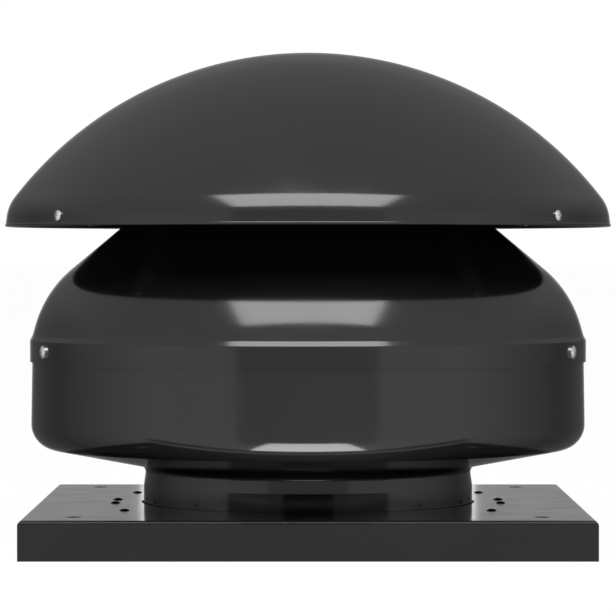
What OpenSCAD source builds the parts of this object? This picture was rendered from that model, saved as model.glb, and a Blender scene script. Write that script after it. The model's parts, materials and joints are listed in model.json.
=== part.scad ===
// Roof exhaust fan for a round duct: a pressed casing on a folded base plate, a domed rain hood
// above its outlet, and a backward-curved impeller on an external-rotor motor inside.
// The origin is the middle of the base plate's underside, +Z is up and the front faces -Y.

/* [Base plate] */
// Side of the square base plate
plate_side = 300; // [285:1:330]
// Height of the base plate with its folded skirt
plate_height = 21; // [18:0.5:28]
// Sheet thickness of the base plate
plate_sheet = 1.5; // [1.2:0.1:2]
// Outer radius of the base plate's folded edges
plate_bend = 2.6; // [2.2:0.1:5]
// Spacing of the four mounting holes
hole_pitch = 245; // [235:1:260]
// Diameter of a mounting hole
hole_d = 8; // [6:0.5:10]

/* [Inlet collar and nozzle] */
// Inner radius of the duct collar
duct_r = 80; // [76:0.5:82]
// Sheet thickness of the collar and nozzle
collar_sheet = 1.2; // [1:0.1:1.6]
// Height of the collar above its flange
collar_height = 18.6; // [15:0.2:20]
// Radius of the bend between the flange and the collar
collar_bend = 2; // [1.5:0.1:3]
// Inner radius of the nozzle's throat
throat_r = 61.8; // [58:0.2:63]
// Radius of the nozzle's rounded mouth
nozzle_bend = 12; // [9:0.5:13]
// How far the nozzle reaches into the impeller's eye
nozzle_lap = 4.5; // [3:0.5:6]
// Radius of the round flanges under the base plate
flange_r = 129; // [127:0.5:133]
// Sideways place of the rivets nearest the middle line
rivet_near_x = 106.5; // [104:0.5:110]
// Forward place of the rivets nearest the middle line
rivet_near_y = 14; // [10:0.5:20]
// Sideways place of the outer rivets
rivet_far_x = 98.5; // [94:0.5:100]
// Forward place of the outer rivets
rivet_far_y = 73; // [66:0.5:76]

/* [Casing] */
// Sheet thickness of the two casing shells
shell_sheet = 1.1; // [0.8:0.1:1.4]
// Outer radius of the casing wall at the seam
casing_r = 152.9; // [149:0.1:157]
// How much wider the wall is at its foot
wall_flare = 0.9; // [0.2:0.1:1.6]
// Outer radius of the neck at the base plate
neck_r = 91.3; // [90:0.1:93]
// How much narrower the neck is at its top
neck_taper = 1.4; // [0.4:0.1:2]
// Height of the neck above the base plate
neck_height = 19.9; // [17:0.1:25]
// Radius of the bend between the neck and the flange under the plate
neck_bend = 1; // [0.6:0.1:1.4]
// Radius of the fillet between the neck and the casing floor
neck_fillet = 4; // [2:0.5:6]
// Slope of the casing floor in degrees
floor_slope = 10.8; // [8:0.2:13]
// Radius of the bend between floor and wall
floor_bend = 14; // [9:0.5:17]
// Height of the wall from its foot corner to the seam
wall_height = 60.5; // [57:0.5:66]
// Height of the joggle that widens the upper shell into a band
joggle_height = 2.6; // [2.2:0.1:3.2]
// Height of the band from the seam to its lower edge
band_height = 14.4; // [13.4:0.1:16]
// Clearance between the band and the lower shell
band_gap = 0.3; // [0.2:0.05:0.5]
// Lean of the upper shell just above the seam in degrees
shoulder_lean = 15.8; // [12:0.2:19]
// Height from the seam to the shoulder's corner
shoulder_rise = 24.4; // [22:0.2:28]
// Radius of the rounded shoulder
shoulder_bend = 62; // [44:1:66]
// Slope of the cone above the shoulder in degrees
cone_slope = 39.8; // [37:0.2:42]
// Outer radius of the outlet mouth
mouth_r = 79.4; // [77:0.2:82]
// Height of the upright collar round the outlet mouth
mouth_collar = 8; // [7:0.5:11]

/* [Hood] */
// Outer radius of the hood's skirt at its foot
hood_r = 167.7; // [163:0.1:169.5]
// Height of the hood from its rim to its top
hood_height = 96.7; // [94:0.1:104]
// Height of the hood's rim above the seam
rim_rise = 60; // [57:0.5:66]
// Sheet thickness of the hood
hood_sheet = 1; // [0.8:0.1:1.4]
// Radius of the hood's crown
crown_r = 205; // [202:1:225]
// Radius of the bend between the crown and the skirt
crown_bend = 22; // [14:1:28]
// Lean of the hood's skirt in degrees
skirt_lean = 7; // [5:0.5:9]
// Diameter of the curled bead along the rim
bead_d = 2; // [1.6:0.1:2.2]
// How far the bead stands out of the skirt
bead_proud = 0.3; // [0.1:0.1:0.6]

/* [Hood brackets and fasteners] */
// Angle of the hood screws from the front and the back in degrees
hood_screw_angle = 52; // [46:1:58]
// Height of the hood screws above the rim
hood_screw_rise = 5.3; // [5:0.1:6]
// Width of a hood bracket
bracket_w = 20; // [16:0.5:24]
// Sheet thickness of a hood bracket
bracket_sheet = 2; // [1.5:0.1:2.5]
// Radius at which a bracket leaves the cone
bracket_foot_r = 99; // [96:0.5:102]
// Height of a bracket's top corner above the rim
bracket_rise = 11.6; // [11.2:0.1:13]
// Outer bend radius of a bracket
bracket_bend = 3; // [2.6:0.1:4]
// Distance between the two rivets of a bracket
foot_rivet_pitch = 11; // [9:0.5:12]
// Thread diameter of the hood screws
hood_screw_d = 3; // [2.5:0.1:3.5]
// Head diameter of the hood screws
hood_head_d = 5.8; // [5:0.1:6.4]
// Angle of the band screws from the front and the back in degrees
band_screw_angle = 67.5; // [62:0.5:72]
// Depth of the band screws below the seam
band_screw_drop = 8.1; // [7.8:0.1:9]
// Thread diameter of the band, motor and impeller screws
machine_screw_d = 4; // [3.5:0.1:4.4]
// Head diameter of the band, motor and impeller screws
machine_head_d = 7.4; // [6.6:0.1:8]
// Shank diameter of the blind rivets
rivet_d = 3.2; // [2.8:0.1:3.6]
// Head diameter of the blind rivets
rivet_head_d = 5.8; // [5:0.1:6.4]

/* [Motor] */
// Sheet thickness of the motor spider
spider_sheet = 2; // [1.6:0.1:2.5]
// Radius of the spider's disc
spider_disc_r = 48; // [45:0.5:52]
// Width of a spider arm
spider_arm_w = 18; // [15:0.5:21]
// Radius of the motor flange
motor_flange_r = 44; // [42:0.5:45.5]
// Thickness of the motor flange
motor_flange_t = 5; // [4:0.2:6]
// Radius of the motor screws' circle
motor_screw_circle = 36; // [34.8:0.2:37.6]
// Running gap between the rotor can and the flange
rotor_gap = 1; // [0.6:0.1:2]
// Outer radius of the rotor can
rotor_r = 46; // [45:0.2:47]
// Height of the rotor can
rotor_height = 44; // [42.5:0.5:46]
// Wall thickness of the rotor can
rotor_wall = 2.4; // [2:0.1:2.8]
// Air gap between the rotor ring and the stator core
air_gap = 0.5; // [0.3:0.05:0.8]
// Radial thickness of the rotor ring
rotor_ring_t = 4.6; // [4:0.1:5.4]
// Radius of the shaft
shaft_r = 4; // [3.6:0.1:4.3]
// Outer radius of a bearing
bearing_r = 11; // [10.6:0.1:12]
// Width of a bearing
bearing_w = 7; // [6.4:0.2:7.6]
// Height of the lower bearing above the rotor can's bottom
lower_bearing_rise = 14; // [13:0.5:15]
// Depth of the upper bearing's lower face below the motor flange
upper_bearing_drop = 6.5; // [6:0.5:7.5]
// Height of the stator core and the rotor ring
core_height = 22; // [20:0.5:23]
// Distance of the motor lead from the axis
lead_x = 18; // [17:0.5:18.5]
// Width of the rotor can's flange that carries the impeller
rim_flange_w = 10; // [9:0.5:12]
// Radius of a bearing ball
ball_r = 1.9; // [1.7:0.05:2]
// Number of balls in a bearing
ball_count = 8; // [6:1:9]
// Wall thickness of the bearing tube
tube_wall = 4; // [3:0.1:5]

/* [Impeller] */
// Outer radius of the impeller
impeller_r = 100; // [96:0.5:106]
// Sheet thickness of the impeller
impeller_sheet = 1.2; // [1:0.1:1.5]
// Height of the backplate above the rotor can's bottom
backplate_rise = 35; // [33.5:0.5:36.5]
// Height of the impeller from its eye to its backplate
impeller_height = 46.5; // [44:0.5:49]
// Radial running gap between the nozzle and the impeller's eye
eye_gap = 1.5; // [1:0.1:2]
// Height of the shroud's corner above its eye
shroud_lip = 9.5; // [8:0.5:11]
// Height of the shroud's edge above its corner
shroud_rise = 6; // [4:0.5:9]
// Radius of the shroud's curved mouth
shroud_bend = 10; // [7:0.5:12]
// Number of blades
blade_count = 7; // [5:1:9]
// Thickness of a blade
blade_t = 1.5; // [1.2:0.1:2]
// Radius of the blades' inner edges at the backplate
blade_in_r = 58; // [57.6:0.2:62]
// Radius of the blades' inner edges at the shroud
blade_low_r = 67; // [66.4:0.2:72]
// Distance of the blades' outer edges from the impeller's edge
blade_set_in = 1.5; // [1:0.1:3]
// Blade angle at the inner edge in degrees
blade_in_angle = 25; // [20:1:30]
// Blade angle at the outer edge in degrees
blade_out_angle = 40; // [36:1:45]
// Number of screws that hold the backplate
impeller_screw_count = 6; // [4:1:6]

/* [Terminal box] */
// Length of the terminal box
box_l = 60; // [56:1:62]
// Width of the terminal box
box_w = 50; // [46:1:54]
// Height of the terminal box without its lid
box_h = 28; // [26:0.5:32]
// Wall thickness of the terminal box
box_wall = 2; // [1.6:0.1:2.4]
// Thickness of the lid
lid_t = 3; // [2.4:0.1:4]
// Distance of the lid screws from the box's sides
lid_screw_in = 4.6; // [4.4:0.1:5.2]
// Radius of the box's upright edges
box_edge_r = 4; // [3:0.5:5]
// Diameter of the gland's thread
gland_thread_d = 16; // [14:0.5:17]
// Diameter of the hole through the gland
gland_bore_d = 9; // [7:0.5:9.5]
// Diameter of the motor lead
lead_d = 5; // [4:0.2:6]

/* [Outlet guard] */
// Wire diameter of the guard's rings
ring_wire_d = 2.4; // [2:0.1:2.8]
// Wire diameter of the guard's spokes
spoke_wire_d = 3; // [2.9:0.1:3.4]
// Number of spokes
spoke_count = 8; // [4:4:12]
// Number of rings inside the outer ring
ring_count = 3; // [2:1:4]

/* [Clearances] */
// Gap between pieces that seat on each other
seat_gap = 0.15; // [0.1:0.05:0.25]
// Radial clearance of a fastener in its hole
screw_gap = 0.1; // [0.05:0.05:0.2]
// Radial gap of a pressed or running fit
fit_gap = 0.03; // [0.02:0.01:0.06]

/* [Hidden] */
$fn = 96;
// Largest turn of one facet along a rounded sheet, in degrees
facet_turn = 4;
// Length by which cutting tools pass a face
past = 1;

paint = "#262728";
steel = "#b9bcc0";
alloy = "#c9cbce";
plastic = "#3a3d40";
copper = "#a5602c";

// Levels of the casing from the base plate up
plate_top = plate_height;
plate_under = plate_top - plate_sheet;
neck_flange_z = plate_under;
collar_flange_z = neck_flange_z - shell_sheet;
neck_top_r = neck_r - neck_taper;
floor_z = plate_top + neck_height;
wall_foot_r = casing_r + wall_flare;
wall_foot_z = floor_z + (wall_foot_r - neck_top_r) * tan(floor_slope);
seam_z = wall_foot_z + wall_height;
joggle_z = seam_z - joggle_height;
wall_top_z = joggle_z - 3 * seat_gap;
band_r = casing_r + band_gap + shell_sheet;
shoulder_r = casing_r - shoulder_rise * tan(shoulder_lean);
shoulder_z = seam_z + shoulder_rise;
mouth_z = shoulder_z + (shoulder_r - mouth_r) * tan(cone_slope);
mouth_top = mouth_z + mouth_collar;

// Levels of the hood
rim_z = seam_z + rim_rise;
top_z = rim_z + hood_height;
crown_z = top_z - crown_r;
bead_r = bead_d / 2;
skirt_foot = [hood_r, rim_z + bead_r];
skirt_out = [cos(skirt_lean), sin(skirt_lean)];
skirt_up = [-sin(skirt_lean), cos(skirt_lean)];
hood_angles = [for (side = [-1, 1], turn = [0, 180]) turn - 90 + side * hood_screw_angle];
hood_screw_z = rim_z + hood_screw_rise;
hood_screw_r = hood_r - (hood_screw_z - skirt_foot[1]) * tan(skirt_lean);

// Levels of the motor, hung under the spider
spider_top = seam_z + 3 * seat_gap;
spider_under = spider_top - spider_sheet;
band_angles = [for (side = [-1, 1], turn = [0, 180]) turn - 90 + side * band_screw_angle];
band_screw_z = seam_z - band_screw_drop;
tab_r = sqrt(pow(casing_r - shell_sheet - 2 * seat_gap, 2) - pow(spider_arm_w / 2, 2));
tab_drop = 6;
flange_under = spider_under - motor_flange_t;
can_top = flange_under - rotor_gap;
can_z = can_top - rotor_height;
tube_r = bearing_r + tube_wall;
upper_bearing_z = flange_under - upper_bearing_drop;
lower_bearing_z = can_z + lower_bearing_rise;
circlip_t = 0.22 * shaft_r;
circlip_z = upper_bearing_z + bearing_w + seat_gap;
shaft_top = circlip_z + 2 * circlip_t;
core_r = rotor_r - rotor_wall - fit_gap - rotor_ring_t - air_gap;
core_z = lower_bearing_z - 0.3 * bearing_w;
winding_in_r = lead_x + lead_d * 0.8;
winding_h = 5;
winding_z = core_z + core_height + seat_gap;

// Levels of the impeller
backplate_z = can_z + backplate_rise;
eye_z = backplate_z - impeller_height;
eye_r = throat_r + collar_sheet + eye_gap;
throat_top = eye_z + nozzle_lap;
rim_flange_z = backplate_z + impeller_sheet;
rim_flange_t = rotor_wall;
rim_flange_r = rotor_r + rim_flange_w;
impeller_screw_r = rotor_r + rim_flange_w / 2;

// Places in the terminal box, which stands on the spider's disc
box_z = spider_top + fit_gap;
lid_z = box_z + box_h;
gland_z = box_z + box_h / 2;
box_fixing_in = 6;

// Outlet guard
guard_r = mouth_r - shell_sheet - ring_wire_d / 2 - seat_gap;
guard_z = mouth_top - mouth_collar / 2;

function unit(v) = v / norm(v);

// Points along an arc, from one angle to another
function arc(centre, r, from, to, steps) =
    [for (i = [0:steps]) let (a = from + (to - from) * i / steps) centre + r * [cos(a), sin(a)]];

// Arc that rounds the corner b between a and c, held inside its two sides
function bend(a, b, c, r) =
    let (u = unit(a - b), v = unit(c - b), half = acos(u * v) / 2,
         cut = min(r / tan(half), 0.8 * norm(a - b), 0.8 * norm(c - b)),
         size = cut * tan(half),
         centre = b + unit(u + v) * size / sin(half),
         start = b + u * cut - centre,
         from = atan2(start[1], start[0]),
         side = u[0] * v[1] - u[1] * v[0] > 0 ? -1 : 1,
         turn = 180 - 2 * half)
    arc(centre, size, from, from + side * turn, max(2, ceil(turn / facet_turn)));

// Sheet outline through corners [x, y, bend radius]
function rounded(corners) =
    [for (i = [0:len(corners) - 1])
        let (p = corners[i], b = [p[0], p[1]])
        each (p[2] == 0 ? [b]
            : bend([corners[i - 1][0], corners[i - 1][1]], b,
                   [corners[i + 1][0], corners[i + 1][1]], p[2]))];

function left_of(a, b) = let (d = unit(b - a)) [-d[1], d[0]];

// The outline moved to its left by t
function shifted(path, t) =
    let (last = len(path) - 1)
    [for (i = [0:last])
        let (before = i == 0 ? left_of(path[0], path[1]) : left_of(path[i - 1], path[i]),
             after = i == last ? before : left_of(path[i], path[i + 1]),
             sum = before + after)
        path[i] + sum * 2 * t / (sum * sum)];

function reversed(path) = [for (i = [len(path) - 1:-1:0]) path[i]];

// Section of a bent sheet whose thickness lies to the left of its corners
module sheet_section(corners, t) {
    outline = rounded(corners);
    polygon(concat(outline, reversed(shifted(outline, t))));
}

// Flat strip bent through corners in the radial plane
module bent_strip(corners, t, w) {
    rotate([90, 0, 0]) linear_extrude(w, center = true) sheet_section(corners, t);
}

module ring_at(r_in, r_out, z, h) {
    translate([0, 0, z]) difference() {
        cylinder(r = r_out, h = h);
        translate([0, 0, -past]) cylinder(r = r_in, h = h + 2 * past);
    }
}

// Pan-head screw along +Z with its head's seat at the origin
module pan_screw(d, head_d, length) {
    head_h = 0.62 * d;
    dome_r = head_d * 0.72;
    difference() {
        union() {
            rotate_extrude() intersection() {
                square([head_d / 2, head_h]);
                translate([0, head_h - dome_r]) circle(r = dome_r);
            }
            translate([0, 0, -length]) cylinder(d = d, h = length + head_h / 3);
        }
        for (turn = [0, 90]) rotate(turn)
            translate([-head_d * 0.27, -head_d * 0.055, head_h * 0.45])
                cube([head_d * 0.54, head_d * 0.11, head_h]);
    }
}

// Blind rivet along +Z: domed head on the origin, formed end past the grip
module blind_rivet(grip) {
    head_h = 0.3 * rivet_d;
    dome_r = (pow(rivet_head_d / 2, 2) + head_h * head_h) / (2 * head_h);
    translate([0, 0, fit_gap]) rotate_extrude() intersection() {
        square([rivet_head_d / 2, head_h]);
        translate([0, head_h - dome_r]) circle(r = dome_r);
    }
    translate([0, 0, -grip]) cylinder(d = rivet_d, h = grip + head_h / 2);
    tail_h = 0.6 * rivet_d;
    translate([0, 0, -grip - tail_h]) cylinder(d = rivet_d * 1.5, h = tail_h - seat_gap);
}

module hex_nut(d, h) {
    difference() {
        cylinder(d = 2.02 * d, h = h, $fn = 6);
        translate([0, 0, -past]) cylinder(d = d + 2 * fit_gap, h = h + 2 * past);
    }
}

module rounded_block(size, r) {
    translate([-size[0] / 2, -size[1] / 2 + r, 0]) cube([size[0], size[1] - 2 * r, size[2]]);
    translate([-size[0] / 2 + r, -size[1] / 2, 0]) cube([size[0] - 2 * r, size[1], size[2]]);
    for (x = [-1, 1], y = [-1, 1])
        translate([x * (size[0] / 2 - r), y * (size[1] / 2 - r), 0]) cylinder(r = r, h = size[2]);
}

// Base plate and inlet
module tray_section(w, low, high, r) {
    translate([-w / 2, low]) square([w, high - r - low]);
    translate([-w / 2 + r, low]) square([w - 2 * r, high - low]);
    for (side = [-1, 1]) translate([side * (w / 2 - r), high - r]) circle(r = r);
}

module tray_block(w, low, high, r) {
    intersection() {
        rotate([90, 0, 0]) linear_extrude(w, center = true) tray_section(w, low, high, r);
        rotate([90, 0, 90]) linear_extrude(w, center = true) tray_section(w, low, high, r);
    }
}

module at_collar_rivets() {
    for (x = [-1, 1], y = [-1, 1], place = [[rivet_near_x, rivet_near_y], [rivet_far_x, rivet_far_y]])
        translate([x * place[0], y * place[1], plate_top]) children();
}

module collar_rivet_holes() {
    at_collar_rivets() translate([0, 0, -plate_height])
        cylinder(r = rivet_d / 2 + screw_gap, h = plate_height + past);
}

module base_plate() {
    color(paint) difference() {
        tray_block(plate_side, 0, plate_height, plate_bend);
        tray_block(plate_side - 2 * plate_sheet, -past, plate_under, plate_bend - plate_sheet);
        translate([0, 0, plate_under - past])
            cylinder(r = neck_r + neck_bend + 2 * seat_gap, h = plate_sheet + 2 * past);
        for (x = [-1, 1], y = [-1, 1])
            translate([x * hole_pitch / 2, y * hole_pitch / 2, plate_under - past])
                cylinder(d = hole_d, h = plate_sheet + 2 * past);
        collar_rivet_holes();
    }
}

module inlet_nozzle() {
    collar_out = duct_r + collar_sheet;
    throat_out = throat_r + collar_sheet;
    ring_z = collar_flange_z + collar_height;
    color(steel) difference() {
        rotate_extrude() sheet_section([
            [flange_r, collar_flange_z, 0], [collar_out, collar_flange_z, collar_bend],
            [collar_out, ring_z, collar_bend], [throat_out, ring_z, nozzle_bend],
            [throat_out, throat_top, 0]], collar_sheet);
        collar_rivet_holes();
    }
}

module collar_rivets() {
    color(paint) at_collar_rivets() blind_rivet(plate_sheet + shell_sheet + collar_sheet);
}

// Casing shells
module lower_shell() {
    color(paint) difference() {
        rotate_extrude() sheet_section([
            [flange_r, neck_flange_z, 0], [neck_r, neck_flange_z, neck_bend],
            [neck_r, (plate_top + floor_z) / 2, 0], [neck_top_r, floor_z, neck_fillet],
            [wall_foot_r, wall_foot_z, floor_bend], [casing_r, wall_top_z, 0]], shell_sheet);
        collar_rivet_holes();
        band_screw_holes();
    }
}

module upper_shell() {
    color(paint) difference() {
        rotate_extrude() sheet_section([
            [band_r, seam_z - band_height, 0], [band_r, joggle_z, shell_sheet],
            [casing_r, seam_z, shell_sheet], [shoulder_r, shoulder_z, shoulder_bend],
            [mouth_r, mouth_z, 2 * shell_sheet], [mouth_r, mouth_top, 0]], shell_sheet);
        band_screw_holes();
        bracket_rivet_holes();
        at_guard_hooks() cylinder(r = spoke_wire_d / 2 + seat_gap, h = past + 4 * shell_sheet);
    }
}

// Local +Z points outward at each band screw, with the band's outside at the origin
module at_band_screws() {
    for (a = band_angles) rotate(a) translate([band_r, 0, band_screw_z]) rotate([0, 90, 0]) children();
}

module band_screw_holes() {
    at_band_screws() translate([0, 0, tab_r - spider_sheet - band_r - past])
        cylinder(r = machine_screw_d / 2 + screw_gap, h = band_r - tab_r + spider_sheet + 2 * past);
}

module band_screws() {
    nut_h = 0.8 * machine_screw_d;
    color(steel) at_band_screws() translate([0, 0, fit_gap])
        pan_screw(machine_screw_d, machine_head_d, band_r - tab_r + spider_sheet + nut_h + 1);
}

module band_nuts() {
    nut_h = 0.8 * machine_screw_d;
    color(steel) at_band_screws() translate([0, 0, tab_r - spider_sheet - seat_gap - nut_h - band_r])
        hex_nut(machine_screw_d, nut_h);
}

module at_motor_screws() {
    for (a = [0:90:270]) rotate(a) translate([motor_screw_circle, 0, spider_top]) children();
}

module motor_spider() {
    color(steel) difference() {
        union() {
            translate([0, 0, spider_under]) cylinder(r = spider_disc_r, h = spider_sheet);
            for (a = band_angles) rotate(a) bent_strip([
                [tab_r, band_screw_z - tab_drop, 0], [tab_r, spider_top, spider_sheet + 1],
                [spider_disc_r / 2, spider_top, 0]], spider_sheet, spider_arm_w);
        }
        translate([0, 0, spider_under - past])
            cylinder(r = bearing_r + seat_gap, h = spider_sheet + 2 * past);
        at_motor_screws() translate([0, 0, -spider_sheet - past])
            cylinder(r = machine_screw_d / 2 + screw_gap, h = spider_sheet + 2 * past);
        band_screw_holes();
        lead_hole(spider_under, spider_top);
        at_box_fixings() translate([0, 0, -box_wall - spider_sheet - past])
            cylinder(r = hood_screw_d / 2 + fit_gap, h = spider_sheet + 2 * past);
    }
}

// Outlet guard, hooked through four holes in the mouth's collar
module at_guard_hooks() {
    for (a = [45:90:315]) rotate(a) translate([guard_r, 0, guard_z]) rotate([0, 90, 0]) children();
}

module outlet_guard() {
    hub_r = 10;
    color(steel) {
        for (i = [0:ring_count])
            translate([0, 0, guard_z]) rotate_extrude()
                translate([hub_r + (guard_r - hub_r) * (i + 1) / (ring_count + 1), 0])
                    circle(d = ring_wire_d);
        for (i = [0:spoke_count - 1]) rotate(45 + i * 360 / spoke_count)
            translate([hub_r / 2, 0, guard_z]) rotate([0, 90, 0])
                cylinder(d = spoke_wire_d, h = guard_r - hub_r / 2);
        at_guard_hooks() translate([0, 0, -past])
            cylinder(d = spoke_wire_d, h = past + ring_wire_d + shell_sheet + 2 * seat_gap);
        translate([0, 0, guard_z - spoke_wire_d * 0.6]) cylinder(r = hub_r, h = spoke_wire_d * 1.2);
    }
}

// Hood
// Centre of the bend that touches both the crown and the skirt's line
function crown_bend_centre() =
    let (start = skirt_foot - crown_bend * skirt_out - [0, crown_z],
         along = start * skirt_up,
         reach = -along + sqrt(along * along - start * start + pow(crown_r - crown_bend, 2)))
    start + reach * skirt_up + [0, crown_z];

// The hood's outline from its rim to its top, a depth inside the outer face
function hood_outline(depth) =
    let (centre = crown_bend_centre(),
         crown_angle = atan2(centre[1] - crown_z, centre[0]),
         bend_steps = ceil((crown_angle - skirt_lean) / facet_turn),
         crown_step = (90 - crown_angle) / ceil((90 - crown_angle) / facet_turn * 1.6))
    concat([skirt_foot - depth * skirt_out],
           arc(centre, crown_bend - depth, skirt_lean, crown_angle, bend_steps),
           [for (a = [crown_angle + crown_step:crown_step:90 - crown_step / 2])
               [0, crown_z] + (crown_r - depth) * [cos(a), sin(a)]],
           [[0, top_z - depth]]);

module hood() {
    color(paint) difference() {
        rotate_extrude() union() {
            polygon(concat(hood_outline(0), reversed(hood_outline(hood_sheet))));
            translate([hood_r + bead_proud - bead_r, rim_z + bead_r]) circle(r = bead_r);
        }
        at_hood_screws() translate([0, 0, -hood_sheet - past])
            cylinder(r = hood_screw_d / 2 + screw_gap, h = hood_sheet + 2 * past);
    }
}

// Local +Z points out of the skirt at each hood screw
module at_hood_screws() {
    for (a = hood_angles) rotate(a) at_hood_screw() children();
}

module at_hood_screw() {
    translate([hood_screw_r, 0, hood_screw_z]) rotate([0, 90 - skirt_lean, 0]) children();
}

// Depth of a bracket's tab inside the skirt's outer face, so that its corners clear the round wall
// and its upper end clears the bend above the straight skirt
bend_rise = crown_bend_centre()[1] + crown_bend * sin(skirt_lean) - rim_z;
tab_bow = pow(max(0, bracket_rise - bracket_bend - bend_rise), 2) / (2 * crown_bend);
tab_depth = hood_sheet + 2 * seat_gap + pow(bracket_w / 2, 2) / (2 * hood_r) + tab_bow;
cone_out = [sin(cone_slope), cos(cone_slope)];
cone_up = [-cos(cone_slope), sin(cone_slope)];
foot_lift = bracket_sheet + seat_gap;
foot_outer = [bracket_foot_r, shoulder_z + (shoulder_r - bracket_foot_r) * tan(cone_slope)];
foot_length = (bracket_foot_r - mouth_r - 2 * bracket_sheet) / cos(cone_slope);

function tab_point(z) =
    skirt_foot - tab_depth * skirt_out + skirt_up * (z - skirt_foot[1]) / cos(skirt_lean);

// Local +Z points out of the cone at each rivet of one bracket, with the foot's top at the origin
module at_foot_rivets() {
    middle = foot_outer + foot_lift * cone_out + cone_up * foot_length * 0.52;
    for (side = [-1, 1])
        let (p = middle + cone_up * side * foot_rivet_pitch / 2)
        translate([p[0], 0, p[1]]) rotate([0, cone_slope, 0]) children();
}

module bracket_rivet_holes() {
    for (a = hood_angles) rotate(a) at_foot_rivets()
        translate([0, 0, -foot_lift - shell_sheet - past])
            cylinder(r = rivet_d / 2 + screw_gap, h = foot_lift + shell_sheet + 2 * past);
}

module hood_bracket(angle) {
    foot = foot_outer + foot_lift * cone_out;
    inner = foot + foot_length * cone_up;
    low = tab_point(rim_z + bead_d + seat_gap);
    corner = tab_point(rim_z + bracket_rise);
    color(paint) rotate(angle) difference() {
        bent_strip([[low[0], low[1], 0], [corner[0], corner[1], bracket_bend],
                    [foot[0], foot[1], bracket_bend], [inner[0], inner[1], 0]],
                   bracket_sheet, bracket_w);
        at_hood_screw() translate([0, 0, -tab_depth - bracket_sheet - past])
            cylinder(r = hood_screw_d / 2 + screw_gap, h = bracket_sheet + past + tab_depth);
        at_foot_rivets() translate([0, 0, -foot_lift - past])
            cylinder(r = rivet_d / 2 + screw_gap, h = foot_lift + 2 * past);
    }
}

module hood_bracket_1() { hood_bracket(hood_angles[0]); }
module hood_bracket_2() { hood_bracket(hood_angles[1]); }
module hood_bracket_3() { hood_bracket(hood_angles[2]); }
module hood_bracket_4() { hood_bracket(hood_angles[3]); }

module hood_screws() {
    nut_h = 0.8 * hood_screw_d;
    color(steel) at_hood_screws() translate([0, 0, fit_gap])
        pan_screw(hood_screw_d, hood_head_d, tab_depth + bracket_sheet + nut_h + 1);
}

module hood_nuts() {
    nut_h = 0.8 * hood_screw_d;
    color(steel) at_hood_screws() translate([0, 0, -tab_depth - bracket_sheet - seat_gap - nut_h])
        hex_nut(hood_screw_d, nut_h);
}

module bracket_rivets() {
    color(steel) for (a = hood_angles) rotate(a) at_foot_rivets()
        blind_rivet(foot_lift + shell_sheet + seat_gap);
}

// Motor, the fixed part
module motor_flange() {
    tube_low = lower_bearing_z - seat_gap;
    shoulder_in = bearing_r * 0.85;
    color(alloy) difference() {
        union() {
            translate([0, 0, flange_under]) cylinder(r = motor_flange_r, h = motor_flange_t);
            translate([0, 0, tube_low]) cylinder(r = tube_r, h = flange_under - tube_low + past);
        }
        translate([0, 0, tube_low - past])
            cylinder(r = bearing_r + fit_gap, h = lower_bearing_z + bearing_w - tube_low + past);
        translate([0, 0, tube_low]) cylinder(r = shoulder_in, h = spider_under - tube_low);
        translate([0, 0, upper_bearing_z])
            cylinder(r = bearing_r + fit_gap, h = spider_under - upper_bearing_z + past);
        at_motor_screws() translate([0, 0, -spider_sheet - motor_flange_t - past])
            cylinder(r = machine_screw_d / 2 + fit_gap, h = motor_flange_t + spider_sheet + past);
        lead_hole(flange_under, spider_under);
    }
}

module motor_screws() {
    color(steel) at_motor_screws() translate([0, 0, fit_gap])
        pan_screw(machine_screw_d, machine_head_d, spider_sheet + motor_flange_t * 0.9);
}

module bearing_cap() {
    cap_t = bearing_w / 6;
    color(steel) translate([0, 0, spider_under - cap_t]) cylinder(r = bearing_r - fit_gap, h = cap_t);
}

module stator_core() {
    color(steel) difference() {
        ring_at(tube_r + fit_gap, core_r, core_z, core_height);
        lead_hole(core_z, core_z + core_height);
    }
}

module stator_winding() {
    winding_out_r = core_r * 0.91;
    color(copper) for (z = [core_z - seat_gap - winding_h, winding_z])
        ring_at(winding_in_r, winding_out_r, z, winding_h);
}

// Bearings
race_r = (bearing_r + shaft_r) / 2;
groove_r = ball_r + fit_gap;
bearing_levels = [lower_bearing_z, upper_bearing_z];

module bearing_outer_rings() {
    color(steel) for (z = bearing_levels) translate([0, 0, z]) rotate_extrude() difference() {
        translate([race_r + ball_r * 0.75, 0]) square([bearing_r - race_r - ball_r * 0.75, bearing_w]);
        translate([race_r, bearing_w / 2]) circle(r = groove_r);
    }
}

module bearing_inner_rings() {
    inner = shaft_r + fit_gap;
    color(steel) for (z = bearing_levels) translate([0, 0, z]) rotate_extrude() difference() {
        translate([inner, 0]) square([race_r - ball_r * 0.75 - inner, bearing_w]);
        translate([race_r, bearing_w / 2]) circle(r = groove_r);
    }
}

module bearing_balls() {
    color(steel) for (z = bearing_levels, i = [0:ball_count - 1])
        rotate(i * 360 / ball_count) translate([race_r, 0, z + bearing_w / 2]) sphere(r = ball_r);
}

module wave_washer() {
    washer_t = bearing_w / 12;
    color(steel)
        ring_at(bearing_r * 0.82, bearing_r - 3 * fit_gap, upper_bearing_z + bearing_w + seat_gap, washer_t);
}

// Motor, the turning part
circlip_groove_r = shaft_r * 0.88;

module shaft() {
    shaft_low = can_z + rotor_wall / 2;
    color(steel) difference() {
        translate([0, 0, shaft_low]) cylinder(r = shaft_r, h = shaft_top - shaft_low);
        ring_at(circlip_groove_r, shaft_r + past, circlip_z - fit_gap, circlip_t + 2 * fit_gap);
    }
}

module circlip() {
    color(steel) difference() {
        ring_at(circlip_groove_r + fit_gap, shaft_r * 1.55, circlip_z, circlip_t);
        translate([0, -shaft_r * 0.4, circlip_z - past])
            cube([shaft_r * 2, shaft_r * 0.8, circlip_t + 2 * past]);
    }
}

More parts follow.
